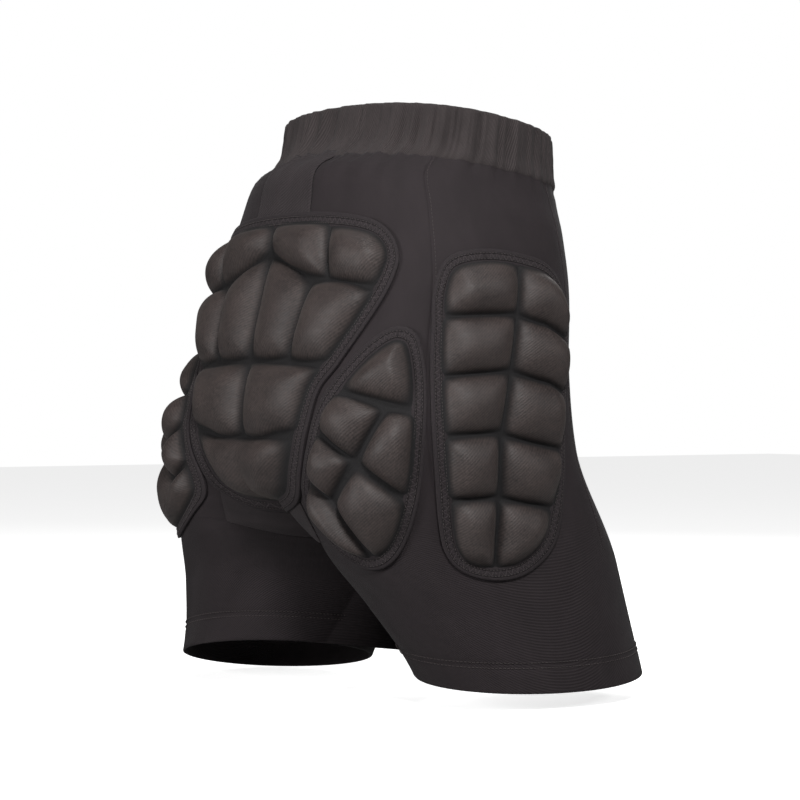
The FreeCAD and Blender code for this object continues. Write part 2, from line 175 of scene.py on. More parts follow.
def cad_spot(round_, drop, off):
    along = 1 - np.minimum(np.abs(round_), HALF_ROUND) / HALF_ROUND
    p = even_point(along, drop) + off[..., None] * even_normal(along, drop)
    x, y, z = p[..., 0], p[..., 1], p[..., 2]
    right = round_ >= 0
    out, ahead, rise_out, rise_back, girth_x, girth_y = [np.where(right, STANCE[1][k], STANCE[-1][k])
                                                         for k in range(6)]
    start = DROP_CROTCH + (STEP_START - DROP_CROTCH) * smooth(np.abs(x) / 75)
    t = np.clip((drop - start) / (DROP_HEM - start), 0, 1)
    lean, ease = 1.35 * t * t / (t + 0.35), smooth(t)
    z = z + ease * (rise_out * (-x - 90) + rise_back * y)
    x = (x + 90) * (1 + (girth_x - 1) * ease) - 90 - out * lean
    y = y * (1 + (girth_y - 1) * ease) - ahead * lean
    return np.stack([np.where(right, x, -x), y, z], -1) * MM


def leg_station(angle):
    out = 0.5 - 0.5 * np.cos(angle)
    half = HALF_ROUND * np.arcsin(np.minimum(1, out ** (SQUARE / 2))) / math.pi
    return np.where(angle < math.pi, half, HALF_ROUND - half)


# ---- mesh helpers -----------------------------------------------------------------------------------
def grid_faces(rows, cols, flip=False, closed=False):
    i, j = np.meshgrid(np.arange(rows if closed else rows - 1), np.arange(cols - 1), indexing="ij")
    a, b = (i * cols + j).ravel(), (((i + 1) % rows) * cols + j).ravel()
    f = np.stack([a, b, b + 1, a + 1], 1)
    return f[:, ::-1] if flip else f


def add_uv(piece, uv, name="cloth"):
    """uv is one pair per vertex, in metres of cloth."""
    layer = piece.data.uv_layers.new(name=name)
    loops = np.zeros(len(piece.data.loops), np.int32)
    piece.data.loops.foreach_get("vertex_index", loops)
    layer.data.foreach_set("uv", np.asarray(uv, np.float32)[loops].ravel())


def thicken(piece, thick, offset=-1):
    solid = piece.modifiers.new("thickness", "SOLIDIFY")
    solid.thickness, solid.offset = thick * MM, offset
    return piece


def knit_uv(r, d):
    """Courses of the knit: level over the hips, bowed round the thighs where the cloth is pulled."""
    pull = smooth((d - 270) / 110)
    return np.stack([r, d + pull * 0.0048 * (np.abs(r) - 215) ** 2], -1) * MM


def cut_size(grid):
    """Width, length and area in metres of a sheet given as a grid of points."""
    across = np.linalg.norm(np.diff(grid, axis=0), axis=2).sum(0).max()
    down = np.linalg.norm(np.diff(grid, axis=1), axis=2).sum(1).max()
    p, q = grid[1:, 1:] - grid[:-1, :-1], grid[1:, :-1] - grid[:-1, 1:]
    return across, down, 0.5 * np.linalg.norm(np.cross(p, q), axis=2).sum()


def cloth_sheet(name, r, d, off, flip, thick, closed=False, folded=1.0):
    """One cut of knit over grids of stations round and down. folded is not used."""
    grid = spot(r, d, off)
    piece = put(name, grid.reshape(-1, 3), grid_faces(*r.shape, flip, closed))
    add_uv(piece, knit_uv(r, d).reshape(-1, 2))
    add_uv(piece, (np.stack([r, d], -1) * MM).reshape(-1, 2), "place")
    thicken(piece, thick)
    return piece


def seam_dip(r, a, b, depth=0.7, reach=1.3):
    """The cloth is pulled down where it is joined at stations a and b."""
    return -depth * (np.exp(-((r - a) / reach) ** 2) + np.exp(-((r - b) / reach) ** 2))


def near_seams(stations, a, b):
    """The same stations with a few more close to both ends."""
    way = 1 if b > a else -1
    more = [a + way * k for k in (0.5, 1.1, 1.8, 2.7)] + [b - way * k for k in (0.5, 1.1, 1.8, 2.7)]
    return np.array(sorted(set(np.round(np.concatenate([stations, more]), 4))))[::way]


def stitches(name, r, d, off, pitch=3.0, share=0.72, radius=0.26, proud=0.28):
    """Separate threads along a line of stations, each dipping into the cloth at both ends."""
    p = spot(r, d, off)
    length = np.concatenate([[0], np.cumsum(np.linalg.norm(np.diff(p, axis=0), axis=1))]) / MM
    count = int(length[-1] / pitch)
    starts = np.arange(count) * length[-1] / count
    where = starts[:, None] + np.array([0, 0.2, 0.8, 1.0]) * share * pitch
    rr, dd = np.interp(where, length, r), np.interp(where, length, d)
    oo = np.interp(where, length, np.broadcast_to(off, np.shape(r)))
    lift = np.array([-0.35, proud, proud, -0.35])
    mid = spot(rr, dd, oo + lift)
    up = spot(rr, dd, oo + lift + 1) - mid
    up /= np.linalg.norm(up, axis=-1, keepdims=True)
    along = mid[:, -1:] - mid[:, :1]
    side = np.cross(along / np.linalg.norm(along, axis=-1, keepdims=True), up)
    a = np.arange(5) * 2 * math.pi / 5
    ring = (mid[:, :, None] + radius * MM * (np.cos(a)[:, None] * side[:, :, None]
                                             + np.sin(a)[:, None] * up[:, :, None]))
    faces = []
    for k in range(3):
        for m in range(5):
            n = (m + 1) % 5
            faces.append([k * 5 + m, k * 5 + n, k * 5 + 5 + n, k * 5 + 5 + m])
    ends = [[4, 3, 2, 1, 0], [15, 16, 17, 18, 19]]
    all_faces = [[v + 20 * c for v in f] for c in range(count) for f in faces + ends]
    piece = put(name, ring.reshape(-1, 3), all_faces)
    piece.data.materials.append(MATERIALS["thread"])
    return piece


def outline(corners, count):
    """Smooth closed curve through points: rows of round, drop and the inward direction."""
    c = np.array(corners, float)
    n = len(c)
    f = np.arange(count) * n / count
    k, t = f.astype(int), (f - f.astype(int))[:, None]
    p0, p1, p2, p3 = c[(k - 1) % n], c[k], c[(k + 1) % n], c[(k + 2) % n]
    pts = 0.5 * (2 * p1 + (p2 - p0) * t + (2 * p0 - 5 * p1 + 4 * p2 - p3) * t * t
                 + (3 * p1 - p0 - 3 * p2 + p3) * t ** 3)
    tangent = np.roll(pts, -1, 0) - np.roll(pts, 1, 0)
    tangent /= np.linalg.norm(tangent, axis=1, keepdims=True)
    return np.concatenate([pts, np.stack([-tangent[:, 1], tangent[:, 0]], 1)], 1)


def edge_margin(points, ring):
    """Distance of each point inside a closed outline, negative outside it."""
    best = np.full(len(points), np.inf)
    hit = np.zeros(len(points), bool)
    x, y = points[:, 0], points[:, 1]
    for a, b in zip(ring, np.roll(ring, -1, 0)):
        ab = b - a
        t = np.clip((points - a) @ ab / (ab @ ab), 0, 1)
        best = np.minimum(best, np.linalg.norm(points - a - t[:, None] * ab, axis=1))
        if a[1] != b[1]:
            hit ^= ((a[1] > y) != (b[1] > y)) & (x < ab[0] * (y - a[1]) / ab[1] + a[0])
    return np.where(hit, best, -best)


def side_gaps(points, corners, bulge):
    """How far each point is inside each of a block's four bowed sides."""
    c = np.array(corners, float)
    gaps = []
    for k in range(4):
        a, b = c[k], c[(k + 1) % 4]
        size = np.linalg.norm(b - a)
        along = (points - a) @ (b - a) / size ** 2
        inward = (points - a) @ np.array([a[1] - b[1], b[0] - a[0]]) / size
        t = np.clip(along, 0, 1)
        gaps.append(inward + bulge[k] * 4 * t * (1 - t))
    return np.array(gaps)


# ---- pad outlines, as in the CAD ---------------------------------------------------------------------
TAIL_EDGE = [(0, 88), (60, 90), (98, 95), (115, 105), (121, 119), (118, 133), (107, 155), (83, 193),
             (68, 213), (59, 242), (46, 274), (31, 299), (0, 308)]
TAIL_BLOCKS = [
    ([(1.6, 99), (57, 98), (60, 133), (1.6, 114)], (1, 0, 3, 0)),
    ([(61, 98), (99, 103), (106, 139), (64, 134)], (1, 4, 0, 0)),
    ([(1.6, 120), (44, 139), (36, 187), (1.6, 187)], (2, 0, 1, 0)),
    ([(48, 140), (97, 144), (68, 190), (40, 188)], (3, 2, 1, 0)),
    ([(1.6, 193), (58, 197), (33, 243), (1.6, 246)], (0, 4, 2, 0)),
]
TAIL_TIP = ([(-27, 251), (27, 251), (23, 299), (-23, 299)], (0, 3, 2, 3))
BUTTOCK_EDGE = [(126, 167), (141, 175), (148, 203), (147, 242), (139, 283), (126, 318), (111, 337),
                (92, 344), (71, 338), (54, 326), (41, 309), (41, 290), (49.8, 270), (58.6, 251), (69, 223),
                (88, 195), (109, 174)]
BUTTOCK_BLOCKS = [
    ([(87, 211), (124, 179), (133, 179), (139, 224)], (3, 1, 3, 0)),
    ([(79, 217), (117, 228), (98, 260), (71.5, 240)], (1, 0, 0, 1)),
    ([(123, 230), (140, 233), (128, 285), (103, 264)], (0, 1, 0, 0)),
    ([(68, 246), (93, 264), (73, 290), (56, 273)], (0, 0, 0, 1)),
    ([(99, 270), (124, 291), (98, 329), (77, 296)], (0, 2, 0, 0)),
    ([(51, 278), (72, 296), (92, 331), (55, 317)], (0, 0, 3, 1)),
]
HIP_EDGE = [(194, 110), (232, 111), (262, 122), (280, 148), (281, 176), (270, 212), (256, 250),
            (242, 290), (228, 325), (206, 344), (184, 350), (163, 346), (151, 333), (148, 305),
            (151, 242), (150, 176), (149, 142), (161, 119)]
HIP_BLOCKS = [([a, b, d, c], (0, 0, 0, 0)) for a, b, c, d in (
    ((178, 127), (219, 121), (169, 157), (215, 154)), ((168, 162), (214, 159), (166, 200), (209, 196)),
    ((165, 205), (208, 201), (161, 243), (199, 241)), ((160, 249), (197, 246), (158, 288), (189, 287)),
    ((158, 293), (188, 292), (164, 329), (180, 336)),
    ((223, 121), (258, 127), (219, 155), (266, 170)), ((218, 160), (266, 176), (213, 197), (259, 212)),
    ((212, 202), (258, 217), (203, 243), (245, 255)), ((202, 248), (244, 260), (194, 288), (233, 297)),
    ((193, 293), (232, 302), (184, 337), (211, 335)))]
PAD_STEP = 1.1
FOAM_RIM = 9.5  # from the edge of a pad to the foot of its foam


def outer_sides(corners, ring, margin_at):
    """Which sides of a block face the edge of the pad rather than another block."""
    c = np.array(corners, float)
    found = []
    for k in range(4):
        a, b = c[k], c[(k + 1) % 4]
        mid, out = (a + b) / 2, np.array([b[1] - a[1], a[0] - b[0]]) / np.linalg.norm(b - a)
        here, past = margin_at(np.array([mid, mid + 6 * out]))
        found.append(here < 30 and past < here - 4)
    return found


def foam_rise(points, corners, bulge, ring, margin, blocks):
    """Height of one foam block, from 0 to 1: steep sides, pinched corners, a soft crown."""
    gaps = side_gaps(points, corners, bulge) + 0.8
    outer = outer_sides(corners, ring, lambda p: edge_margin(p, ring))
    for k in range(4):
        if outer[k]:
            gaps[k] = margin - FOAM_RIM
    middle = np.array(corners, float).mean(0)
    reach = [min(21.0, max(6.0, g[np.linalg.norm(points - middle, axis=1).argmin()])) for g in gaps]
    soft = 0.5 * (gaps + np.sqrt(gaps ** 2 + 0.25))
    form = 1 - (1 - np.clip(soft / np.array(reach)[:, None], 0, 1)) ** 2
    form = np.where(gaps < -3, 0, form)
    whole = form.prod(0)
    return 0.86 * whole ** 0.5 + 0.14 * form.min(0)


def settle(piece, held, pressure, frames, cap, loose):
    """Let the face fabric settle over the foam as cloth, held where it is sewn or glued down."""
    group = piece.vertex_groups.new(name="held")
    for weight in np.unique(np.round(held, 1)):
        if weight > 0:
            group.add(np.nonzero(np.round(held, 1) == weight)[0].tolist(), float(weight), "REPLACE")
    cloth = piece.modifiers.new("cloth", "CLOTH")
    kit = cloth.settings
    kit.quality, kit.mass = 6, 0.15
    kit.tension_stiffness = kit.compression_stiffness = 25
    kit.shear_stiffness, kit.bending_stiffness = 8, 0.6
    kit.use_pressure, kit.uniform_pressure_force = True, pressure
    kit.shrink_min = kit.shrink_max = -loose
    kit.vertex_group_mass = "held"
    kit.effector_weights.gravity = 0
    cloth.collision_settings.use_collision = False
    cloth.collision_settings.use_self_collision = False
    cloth.point_cache.frame_start, cloth.point_cache.frame_end = 1, frames
    scene = bpy.context.scene
    for f in range(1, frames + 1):
        scene.frame_set(f)
    count = len(piece.data.vertices)
    before, after = np.zeros(count * 3), np.zeros(count * 3)
    piece.data.vertices.foreach_get("co", before)
    shown = piece.evaluated_get(bpy.context.evaluated_depsgraph_get()).to_mesh()
    shown.vertices.foreach_get("co", after)
    move = (after - before).reshape(-1, 3)
    size = np.linalg.norm(move, axis=1, keepdims=True)
    print(f"cloth {piece.name}: moved {size.max() * 1000:.1f} mm at most, {size.mean() * 1000:.2f} on average")
    move *= np.minimum(1, cap * MM / np.maximum(size, 1e-9))
    piece.modifiers.remove(cloth)
    piece.data.vertices.foreach_set("co", (before.reshape(-1, 3) + move).ravel())
    piece.data.update()
    piece.vertex_groups.clear()
    scene.frame_set(1)


def pad_cover(name, edge, blocks, height, sign):
    """Face fabric of one pad: flat webs, and a crowned pillow over each foam block."""
    ring = outline(edge, 160)
    low, high = ring[:, :2].min(0), ring[:, :2].max(0)
    counts = np.ceil((high - low) / PAD_STEP).astype(int) + 1
    r, d = np.meshgrid(np.linspace(low[0], high[0], counts[0]), np.linspace(low[1], high[1], counts[1]),
                       indexing="ij")
    flat = np.stack([r, d], -1).reshape(-1, 2)
    margin = edge_margin(flat, ring[:, :2])
    form = np.max([foam_rise(flat, c, b, ring[:, :2], margin, blocks) for c, b in blocks], 0)
    rise = 0.4 + (height - 0.9) * form
    keep = margin > 2.5
    faces = grid_faces(counts[0], counts[1], sign < 0)
    faces = faces[keep[faces].all(1)]
    used, faces = np.unique(faces, return_inverse=True)
    faces = faces.reshape(-1, 4)
    piece = put(name, spot(sign * flat[used, 0], flat[used, 1], PAD_FOOT + rise[used]), faces)
    add_uv(piece, flat[used] * MM)
    # the first place coordinate is the foam rise; the pad_face material uses it to paint shade into the webs between
    # the pillows
    add_uv(piece, np.stack([form[used], margin[used] * 0.05], 1), "place")
    settle(piece, 1 - smooth(form[used] / 0.3), 1.2, 8, 1.0, 0.0)
    thicken(piece, 0.6)
    return piece


def binding(name, edge, blocks, sign):
    """Flat tape round the edge of a pad, as wide as the foam leaves room for, and its two seams."""
    ring = outline(edge, 12 * len(edge))
    wide = np.full(len(ring), 11.0)
    steps = np.linspace(0, 11, 23)
    for corners, bulge in blocks:
        outer = outer_sides(corners, ring[:, :2], lambda p: edge_margin(p, ring[:, :2]))
        for k, w in enumerate(steps):
            p = ring[:, :2] + ring[:, 2:] * w
            gaps = side_gaps(p, corners, bulge)
            gaps[np.array(outer)] = w - FOAM_RIM
            hit = gaps.min(0) > 1.8
            wide = np.where(hit, np.minimum(wide, w), wide)
    wide = np.maximum(wide, 3.5)
    for _ in range(4):
        wide = np.minimum(wide, 0.25 * np.roll(wide, 1) + 0.5 * wide + 0.25 * np.roll(wide, -1) + 0.15)
    share = np.array([0.0, 0.0, 0.05, 0.16, 0.3, 0.42, 0.58, 0.7, 0.84, 0.95, 1.0, 1.0])
    lift = np.array([-1.8, 0.7, 1.15, 1.4, 1.25, 1.45, 1.45, 1.25, 1.4, 1.15, 0.7, -0.2])
    across = share * wide[:, None]
    r = ring[:, None, 0] + ring[:, None, 2] * across
    d = ring[:, None, 1] + ring[:, None, 3] * across
    n, m = r.shape
    piece = put(name, spot(sign * r, d, PAD_FOOT + 0.1 + lift[None, :]).reshape(-1, 3),
                grid_faces(n, m, sign < 0, closed=True))
    along = np.concatenate([[0], np.cumsum(np.linalg.norm(np.diff(ring[:, :2], axis=0), axis=1))])
    add_uv(piece, np.stack([np.repeat(along, m) * MM, np.tile(share, n) * 11 * MM], 1))
    add_uv(piece, np.stack([np.repeat(along, m) * MM, np.tile(share, n) * 11 * MM], 1), "place")
    rows = []
    for part, v in (("outer", 0.3), ("inner", 0.7)):
        line = np.concatenate([ring[:, :2] + ring[:, 2:] * (v * wide)[:, None],
                               ring[:1, :2] + ring[:1, 2:] * (v * wide)[:1, None]])
        row = stitches(f"{name}_{part}_stitches", sign * line[:, 0], line[:, 1], PAD_FOOT + 1.4, 2.6)
        rows.append(row)
    return piece, rows


# ---- materials --------------------------------------------------------------------------------------
class Cloth:
    """A procedural fabric: colour, roughness and bump from its nodes, on the cloth's own coordinates."""

    def __init__(self, name, roughness, sheen, specular=0.2, tint=(1, 1, 1)):
        self.mat = bpy.data.materials.new(name)
        self.mat.use_nodes = True
        self.nodes, self.links = self.mat.node_tree.nodes, self.mat.node_tree.links
        self.shader = self.nodes["Principled BSDF"]
        self.shader.inputs["Roughness"].default_value = roughness
        self.shader.inputs["Sheen Weight"].default_value = sheen
        self.shader.inputs["Sheen Roughness"].default_value = 0.4
        self.shader.inputs["Sheen Tint"].default_value = (*tint, 1)
        self.shader.inputs["Specular IOR Level"].default_value = specular
        self.cloth = self.coordinates("cloth")

    def coordinates(self, name):
        uv = self.nodes.new("ShaderNodeUVMap")
        uv.uv_map = name
        return uv.outputs["UV"]

    def math(self, operation, a, b=None, c=None, clamp=False):
        node = self.nodes.new("ShaderNodeMath")
        node.operation, node.use_clamp = operation, clamp
        for socket, value in zip(node.inputs, (a, b, c)):
            if isinstance(value, (int, float)):
                socket.default_value = value
            elif value is not None:
                self.links.new(value, socket)
        return node.outputs[0]

    def turned(self, angle, source=None, stretch=(1, 1)):
        place = self.nodes.new("ShaderNodeMapping")
        place.inputs["Rotation"].default_value = (0, 0, angle)
        place.inputs["Scale"].default_value = (*stretch, 1)
        self.links.new(source or self.cloth, place.inputs["Vector"])
        return place.outputs["Vector"]

    def lines(self, period, angle=0.0, waver=0.0, source=None, profile="SIN"):
        """Parallel cords, period in millimetres, lying across the second coordinate."""
        wave = self.nodes.new("ShaderNodeTexWave")
        wave.bands_direction, wave.wave_profile = "Y", profile
        wave.inputs["Scale"].default_value = 2 * math.pi / (20 * period * MM)
        wave.inputs["Distortion"].default_value = waver
        wave.inputs["Detail"].default_value = 1.0
        wave.inputs["Detail Scale"].default_value = 0.4
        self.links.new(self.turned(angle, source), wave.inputs["Vector"])
        return wave.outputs["Fac"]

    def noise(self, grain, detail=3.0, stretch=(1, 1), angle=0.0, rough=0.55):
        """Soft variation, grain in millimetres."""
        node = self.nodes.new("ShaderNodeTexNoise")
        node.inputs["Scale"].default_value = 1 / (grain * MM)
        node.inputs["Detail"].default_value = detail
        node.inputs["Roughness"].default_value = rough
        self.links.new(self.turned(angle, None, stretch), node.inputs["Vector"])
        return node.outputs["Fac"]

    def part(self, source, index):
        split = self.nodes.new("ShaderNodeSeparateXYZ")
        self.links.new(source, split.inputs[0])
        return split.outputs[index]

    def ramp(self, value, a, b):
        node = self.nodes.new("ShaderNodeMapRange")
        node.interpolation_type = "SMOOTHSTEP"
        node.inputs["From Min"].default_value, node.inputs["From Max"].default_value = a, b
        self.links.new(value, node.inputs["Value"])
        return node.outputs["Result"]

    def colour(self, value, low, high, start=0.0, end=1.0):
        node = self.nodes.new("ShaderNodeValToRGB")
        node.color_ramp.elements[0].position, node.color_ramp.elements[1].position = start, end
        node.color_ramp.elements[0].color, node.color_ramp.elements[1].color = (*low, 1), (*high, 1)
        self.links.new(value, node.inputs["Fac"])
        self.links.new(node.outputs["Color"], self.shader.inputs["Base Color"])

    def roughness(self, value, low, high):
        node = self.nodes.new("ShaderNodeMapRange")
        node.inputs["To Min"].default_value, node.inputs["To Max"].default_value = low, high
        self.links.new(value, node.inputs["Value"])
        self.links.new(node.outputs["Result"], self.shader.inputs["Roughness"])

    def bump(self, *pairs):
        """Relief in millimetres, each given with its height."""
        last = None
        for value, distance in pairs:
            node = self.nodes.new("ShaderNodeBump")
            node.inputs["Distance"].default_value = distance * MM
            node.inputs["Strength"].default_value = 1.0
            self.links.new(value, node.inputs["Height"])
            if last:
                self.links.new(last, node.inputs["Normal"])
            last = node.outputs["Normal"]
        self.links.new(last, self.shader.inputs["Normal"])
        return self.mat


def knit(name, low, high, rib_period, rib_angle=0.0, rib_from=None, rib_depth=0.22, seed=0.0):
    c = Cloth(name, 0.8, 0.02, 0.18)
    courses, wales = c.lines(0.75, 0.0, 0.5), c.lines(0.75, math.pi / 2, 0.5)
    weave = c.math("MULTIPLY", courses, wales)
    rib = c.lines(rib_period, rib_angle, 0.8)
    if rib_from:
        fade = c.ramp(c.part(c.coordinates("place"), 1), *rib_from)
        rib = c.math("MULTIPLY_ADD", c.math("SUBTRACT", rib, 0.5), fade, 0.5)
    patchy = c.noise(26.0, 3.0, (1, 0.6))
    fuzz = c.noise(0.9, 2.0, (1, 0.35), 0.2)
    tone = c.math("ADD", c.math("MULTIPLY", patchy, 0.42), c.math("MULTIPLY", fuzz, 0.24))
    tone = c.math("ADD", tone, c.math("MULTIPLY_ADD", rib, 0.26, c.math("MULTIPLY", weave, 0.1)))
    c.colour(tone, low, high, 0.25, 0.75)
    c.roughness(fuzz, 0.7, 0.92)
    return c.bump((weave, 0.05), (rib, rib_depth), (fuzz, 0.06), (patchy, 0.5))


def satin(name, low, high):
    """Smooth stretch fabric laminated on the foam: a fine twill with a soft lustre. Its colour is darkened in the webs
    between the pillows as painted shade.
    """
    c = Cloth(name, 0.5, 0.02, 0.27, (1, 0.93, 0.86))
    twill = c.lines(1.5, 0.75, 0.5)
    slub = c.noise(3.2, 3.0, (0.35, 1.6), 0.75)
    crease = c.noise(6.0, 4.0, (1, 0.45), -0.6)
    grit = c.noise(1.7, 2.0, (1, 0.7), 0.75, 0.8)
    patchy = c.noise(22.0, 2.0)
    tone = c.math("ADD", c.math("MULTIPLY", patchy, 0.4), c.math("MULTIPLY_ADD", grit, 0.6,
                                                                c.math("MULTIPLY", twill, 0.14)))
    # painted shade: the first place coordinate is the foam rise, and the colour darkens where it is low, in the webs
    # between the pillows; the same mask also roughens the webs
    crown = c.ramp(c.part(c.coordinates("place"), 0), 0.06, 0.5)
    tone = c.math("MULTIPLY_ADD", c.math("SUBTRACT", tone, 0.25), crown, 0.25)
    c.colour(tone, low, high, 0.25, 0.85)
    shine = c.math("MULTIPLY_ADD", slub, 0.5, c.math("MULTIPLY", grit, 0.5))
    c.roughness(c.math("MULTIPLY_ADD", c.math("SUBTRACT", 1.0, crown), 1.0, shine), 0.36, 0.8)
    return c.bump((twill, 0.07), (grit, 0.16), (slub, 0.10), (crease, 0.16))


def tape(name, low, high):
    """Narrow knit binding with the pinholes and crossing threads of its two rows of coverstitch."""
    c = Cloth(name, 0.8, 0.02, 0.15)
    place = c.coordinates("place")
    u, v = c.part(place, 0), c.part(place, 1)
    rib = c.lines(0.8, 0.0, 0.3)
    zig = c.math("MULTIPLY", c.math("PINGPONG", u, 2.6 * MM), 1.0)
    across = c.math("SUBTRACT", v, 5.5 * MM)
    thread = c.ramp(c.math("ABSOLUTE", c.math("SUBTRACT", c.math("MULTIPLY_ADD", zig, 1.6, -2.1 * MM), across)),
                    0.7 * MM, 0.25 * MM)
    band = c.ramp(c.math("ABSOLUTE", across), 2.4 * MM, 2.0 * MM)
    thread = c.math("MULTIPLY", thread, band)
    row = c.ramp(c.math("ABSOLUTE", c.math("SUBTRACT", c.math("ABSOLUTE", across), 2.2 * MM)), 0.9 * MM, 0.3 * MM)
    fuzz = c.noise(1.1, 3.0)
    tone = c.math("ADD", c.math("MULTIPLY", fuzz, 0.5), c.math("MULTIPLY_ADD", rib, 0.12,
                                                              c.math("MULTIPLY", thread, 0.3)))
    tone = c.math("SUBTRACT", tone, c.math("MULTIPLY", row, 0.22))
    c.colour(tone, low, high, 0.15, 0.85)
    c.roughness(fuzz, 0.7, 0.9)
    return c.bump((rib, 0.06), (thread, 0.3), (fuzz, 0.15), (c.math("SUBTRACT", 1.0, row), 0.35))


def plain(name, low, high, roughness=0.85, period=0.9):
    c = Cloth(name, roughness, 0.02, 0.15)
    weave = c.math("MULTIPLY", c.lines(period, 0.0, 0.3), c.lines(period, math.pi / 2, 0.3))
    fuzz = c.noise(1.2, 3.0)
    c.colour(c.math("MULTIPLY_ADD", fuzz, 0.6, c.math("MULTIPLY", weave, 0.4)), low, high, 0.1, 0.9)
    c.roughness(fuzz, roughness - 0.1, min(1.0, roughness + 0.1))
    return c.bump((weave, 0.08), (fuzz, 0.08))


MATERIALS = {
    "body_knit": knit("body_knit", (0.0085, 0.0062, 0.0070), (0.0180, 0.0138, 0.0152), 2.3, 0.0, (0.285, 0.345)),
    "leg_knit": plain("leg_thread", (0.012, 0.010, 0.010), (0.032, 0.027, 0.026)),
    "rib_insert": knit("rib_insert", (0.010, 0.0078, 0.0086), (0.029, 0.0232, 0.0246), 2.0, 0.62),
    "waistband_knit": knit("waistband_knit", (0.011, 0.0088, 0.0090), (0.040, 0.0325, 0.0325), 1.5, 1.25),
    "binding_tape": tape("binding_tape", (0.006, 0.0046, 0.0054), (0.046, 0.0375, 0.0395)),
    "pad_face": satin("pad_face", (0.0022, 0.0017, 0.0021), (0.042, 0.0315, 0.0290)),
    "thread": plain("thread", (0.03, 0.025, 0.025), (0.065, 0.055, 0.054), 0.6, 0.4),
}


def finish_piece(piece, slot, body=SEAT, *replaced):
    if not piece.data.materials:
        piece.data.materials.append(MATERIALS[slot])
    if body:
        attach(piece, body)
    if replaced:
        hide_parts(*replaced)
    return piece


# ---- knit shell -------------------------------------------------------------------------------------
def spread(a, b, step):
    return np.linspace(a, b, max(2, int(round(abs(b - a) / step)) + 1))


def fork_rows(fork):
    rows = spread(WAISTBAND_HEIGHT - 3, fork, 3.0)
    return np.concatenate([rows, fork + (DROP_CROTCH - fork) * np.sin(np.radians(np.linspace(0, 90, 40)[1:]))])


def gathers(r, d):
    """The elastic draws the cloth just under and on the waistband into small uneven folds."""
    lean = d * 0.16
    t = (r + lean) * 2 * math.pi / (2 * HALF_ROUND)
    folds = (1.1 * np.sin(36 * t + 1.7 * np.sin(7 * t) + 0.9 * np.sin(13 * t + 1))
             + 0.7 * np.sin(61 * t + 2.1 * np.sin(11 * t + 2)) + 0.4 * np.sin(97 * t + 1.5 * np.sin(17 * t))
             + 0.25 * np.sin(163 * t + 1.5 * np.sin(19 * t)))
    return 1.7 * folds * (0.7 + 0.3 * np.sin(5 * t + 0.6) * np.sin(3 * t + 2))


def shell_off(r, d):
    """Small hollows and folds of the knit under the band and at the top of the thighs."""
    below = np.exp(-np.maximum(d - WAISTBAND_HEIGHT, 0) / 9)
    tuck = -0.9 * np.exp(-((d - WAISTBAND_HEIGHT - 1.5) / 3) ** 2)
    drag = 0.5 * np.sin((np.abs(r) - 0.55 * d) / 9) * smooth((d - 290) / 60) * np.exp(-((np.abs(r) - 60) / 45) ** 2)
    return 0.55 * gathers(r, d) * below + tuck + drag


CENTRE_STRIP, SIDE_SEAMS = 31.0, (149.0, 292.0)
crowd = np.linspace(0, 1, 46) ** 1.7
strip = near_seams(np.concatenate([-CENTRE_STRIP * crowd[:0:-1], CENTRE_STRIP * crowd]), -CENTRE_STRIP, CENTRE_STRIP)
r, d = np.meshgrid(strip, fork_rows(DROP_SEAT), indexing="ij")
piece = cloth_sheet("centre_back_insert", r, d, shell_off(r, d) + seam_dip(r, -CENTRE_STRIP, CENTRE_STRIP), False, 1.1)
finish_piece(piece, "rib_insert", SEAT, "centre_back_panel")
rounds = np.concatenate([leg_station(np.linspace(0, 2 * math.pi, 171)), CENTRE_STRIP + np.linspace(0, 60, 21),
                         [seam + k for seam in (CENTRE_STRIP, *SIDE_SEAMS) for k in (-2.7, -1.6, -0.8, 0, 0.8, 1.6, 2.7)]])
rounds = np.sort(rounds)
rounds = rounds[np.concatenate([[True], np.diff(rounds) > 0.02])]
strip_edge = int(np.argmin(np.abs(rounds - CENTRE_STRIP)))
rounds[strip_edge] = CENTRE_STRIP
upper = np.unique(np.round(np.concatenate([fork_rows(DROP_SEAT)[::2], fork_rows(DROP_FRONT_FORK)[::2],
                                           [DROP_CROTCH]]), 3))
down = spread(DROP_CROTCH + 2.5, DROP_HEM - 1, 2.5)
drops = np.concatenate([upper, down, DROP_HEM - 1 + np.array([0.6, 0.9, 0.9, 0.6, 0.0]),
                        [430, 424, 418, DROP_HEM_SEAM + 1, DROP_HEM_SEAM]])
hem = np.concatenate([0 * upper, 0.45 * smooth((down - DROP_HEM_SEAM - 2) / 6), [0.1, -0.6, -1.4, -2.1, -2.6],
                      [-2.8, -2.8, -2.7, -2.4, -1.6]])
crotch_row = len(upper) - 1
